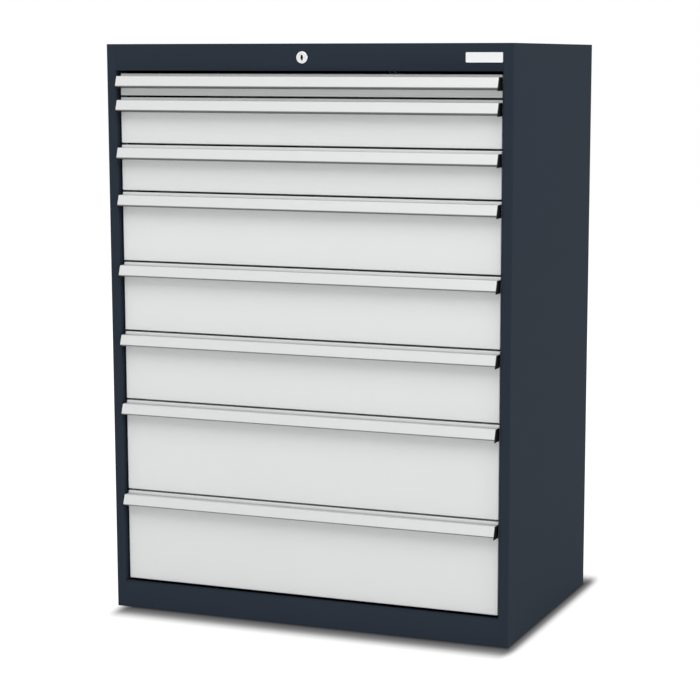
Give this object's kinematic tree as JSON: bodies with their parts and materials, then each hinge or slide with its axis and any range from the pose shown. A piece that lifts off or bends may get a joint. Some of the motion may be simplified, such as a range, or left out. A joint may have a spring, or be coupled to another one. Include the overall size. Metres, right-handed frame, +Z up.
{
  "type": "drawer cabinet",
  "caption": "Free-standing steel cabinet with a stack of full-width drawers of graded heights, strip handles and one central lock.",
  "frame": {"origin": "on the floor under the middle of the housing's footprint, on the underside of the base panel", "axes": "+Z up, the drawers face -Y, +X to the right of someone facing the drawers"},
  "size_m": [0.902, 0.5764, 1.22],
  "materials": {
    "housing_paint": "dark blue-grey powder coat, satin",
    "front_paint": "light grey powder coat, satin",
    "tray_paint": "light grey powder coat, satin",
    "handle_profile": "light grey coated extrusion, satin",
    "cap_plastic": "moulded black",
    "zinc_steel": "zinc plated",
    "lock_chrome": "satin nickel plated",
    "blank_plate": "plain light plate"
  },
  "bodies": {
    "housing": {"left_side_panel": "housing_paint", "right_side_panel": "housing_paint", "rear_panel": "housing_paint", "top_panel": "housing_paint", "base_panel": "housing_paint", "lock_rail": "housing_paint", "plinth_rail": "housing_paint", "left_uprights": "zinc_steel", "right_uprights": "zinc_steel", "left_cabinet_runners": "zinc_steel", "right_cabinet_runners": "zinc_steel", "badge_plate": "blank_plate", "lock_barrel": "lock_chrome", "lock_nut": "lock_chrome", "rod_bracket": "zinc_steel", "lock_bar_guides": "zinc_steel"},
    "lock": {"lock_plug": "lock_chrome", "lock_rod": "zinc_steel", "lock_lever": "zinc_steel"},
    "lock_bar": {"lock_bar": "zinc_steel"},
    "drawer_1": {"drawer_1_front": "front_paint", "drawer_1_tray": "tray_paint", "drawer_1_handle": "handle_profile", "drawer_1_handle_caps": "cap_plastic"},
    "carriage_1": {"drawer_1_carriages": "zinc_steel"},
    "drawer_2": {"drawer_2_front": "front_paint", "drawer_2_tray": "tray_paint", "drawer_2_handle": "handle_profile", "drawer_2_handle_caps": "cap_plastic"},
    "carriage_2": {"drawer_2_carriages": "zinc_steel"},
    "drawer_3": {"drawer_3_front": "front_paint", "drawer_3_tray": "tray_paint", "drawer_3_handle": "handle_profile", "drawer_3_handle_caps": "cap_plastic"},
    "carriage_3": {"drawer_3_carriages": "zinc_steel"},
    "drawer_4": {"drawer_4_front": "front_paint", "drawer_4_tray": "tray_paint", "drawer_4_handle": "handle_profile", "drawer_4_handle_caps": "cap_plastic"},
    "carriage_4": {"drawer_4_carriages": "zinc_steel"},
    "drawer_5": {"drawer_5_front": "front_paint", "drawer_5_tray": "tray_paint", "drawer_5_handle": "handle_profile", "drawer_5_handle_caps": "cap_plastic"},
    "carriage_5": {"drawer_5_carriages": "zinc_steel"},
    "drawer_6": {"drawer_6_front": "front_paint", "drawer_6_tray": "tray_paint", "drawer_6_handle": "handle_profile", "drawer_6_handle_caps": "cap_plastic"},
    "carriage_6": {"drawer_6_carriages": "zinc_steel"},
    "drawer_7": {"drawer_7_front": "front_paint", "drawer_7_tray": "tray_paint", "drawer_7_handle": "handle_profile", "drawer_7_handle_caps": "cap_plastic"},
    "carriage_7": {"drawer_7_carriages": "zinc_steel"},
    "drawer_8": {"drawer_8_front": "front_paint", "drawer_8_tray": "tray_paint", "drawer_8_handle": "handle_profile", "drawer_8_handle_caps": "cap_plastic"},
    "carriage_8": {"drawer_8_carriages": "zinc_steel"}
  },
  "joints": [
    {"name": "lock_turn", "type": "hinge", "parent": "housing", "child": "lock", "pos_m": [0, -0.279, 1.192], "axis": [0, 1, 0], "range_deg": [0, 90]},
    {"name": "lock_bar_lift", "type": "slide", "parent": "housing", "child": "lock_bar", "axis": [0, 0, 1], "range_m": [0, 0.0198]},
    {"name": "drawer_1_slide", "type": "slide", "parent": "housing", "child": "drawer_1", "axis": [0, -1, 0], "range_m": [0, 0.5]},
    {"name": "carriage_1_slide", "type": "slide", "parent": "housing", "child": "carriage_1", "axis": [0, -1, 0], "range_m": [0, 0.25]},
    {"name": "drawer_2_slide", "type": "slide", "parent": "housing", "child": "drawer_2", "axis": [0, -1, 0], "range_m": [0, 0.5]},
    {"name": "carriage_2_slide", "type": "slide", "parent": "housing", "child": "carriage_2", "axis": [0, -1, 0], "range_m": [0, 0.25]},
    {"name": "drawer_3_slide", "type": "slide", "parent": "housing", "child": "drawer_3", "axis": [0, -1, 0], "range_m": [0, 0.5]},
    {"name": "carriage_3_slide", "type": "slide", "parent": "housing", "child": "carriage_3", "axis": [0, -1, 0], "range_m": [0, 0.25]},
    {"name": "drawer_4_slide", "type": "slide", "parent": "housing", "child": "drawer_4", "axis": [0, -1, 0], "range_m": [0, 0.5]},
    {"name": "carriage_4_slide", "type": "slide", "parent": "housing", "child": "carriage_4", "axis": [0, -1, 0], "range_m": [0, 0.25]},
    {"name": "drawer_5_slide", "type": "slide", "parent": "housing", "child": "drawer_5", "axis": [0, -1, 0], "range_m": [0, 0.5]},
    {"name": "carriage_5_slide", "type": "slide", "parent": "housing", "child": "carriage_5", "axis": [0, -1, 0], "range_m": [0, 0.25]},
    {"name": "drawer_6_slide", "type": "slide", "parent": "housing", "child": "drawer_6", "axis": [0, -1, 0], "range_m": [0, 0.5]},
    {"name": "carriage_6_slide", "type": "slide", "parent": "housing", "child": "carriage_6", "axis": [0, -1, 0], "range_m": [0, 0.25]},
    {"name": "drawer_7_slide", "type": "slide", "parent": "housing", "child": "drawer_7", "axis": [0, -1, 0], "range_m": [0, 0.5]},
    {"name": "carriage_7_slide", "type": "slide", "parent": "housing", "child": "carriage_7", "axis": [0, -1, 0], "range_m": [0, 0.25]},
    {"name": "drawer_8_slide", "type": "slide", "parent": "housing", "child": "drawer_8", "axis": [0, -1, 0], "range_m": [0, 0.5]},
    {"name": "carriage_8_slide", "type": "slide", "parent": "housing", "child": "carriage_8", "axis": [0, -1, 0], "range_m": [0, 0.25]}
  ],
  "couplings": [
    {"joint": "lock_turn", "follows": "lock_bar_lift", "rad_per_m": 79.33},
    {"joint": "carriage_1_slide", "follows": "drawer_1_slide", "ratio": 0.5},
    {"joint": "carriage_2_slide", "follows": "drawer_2_slide", "ratio": 0.5},
    {"joint": "carriage_3_slide", "follows": "drawer_3_slide", "ratio": 0.5},
    {"joint": "carriage_4_slide", "follows": "drawer_4_slide", "ratio": 0.5},
    {"joint": "carriage_5_slide", "follows": "drawer_5_slide", "ratio": 0.5},
    {"joint": "carriage_6_slide", "follows": "drawer_6_slide", "ratio": 0.5},
    {"joint": "carriage_7_slide", "follows": "drawer_7_slide", "ratio": 0.5},
    {"joint": "carriage_8_slide", "follows": "drawer_8_slide", "ratio": 0.5}
  ]
}
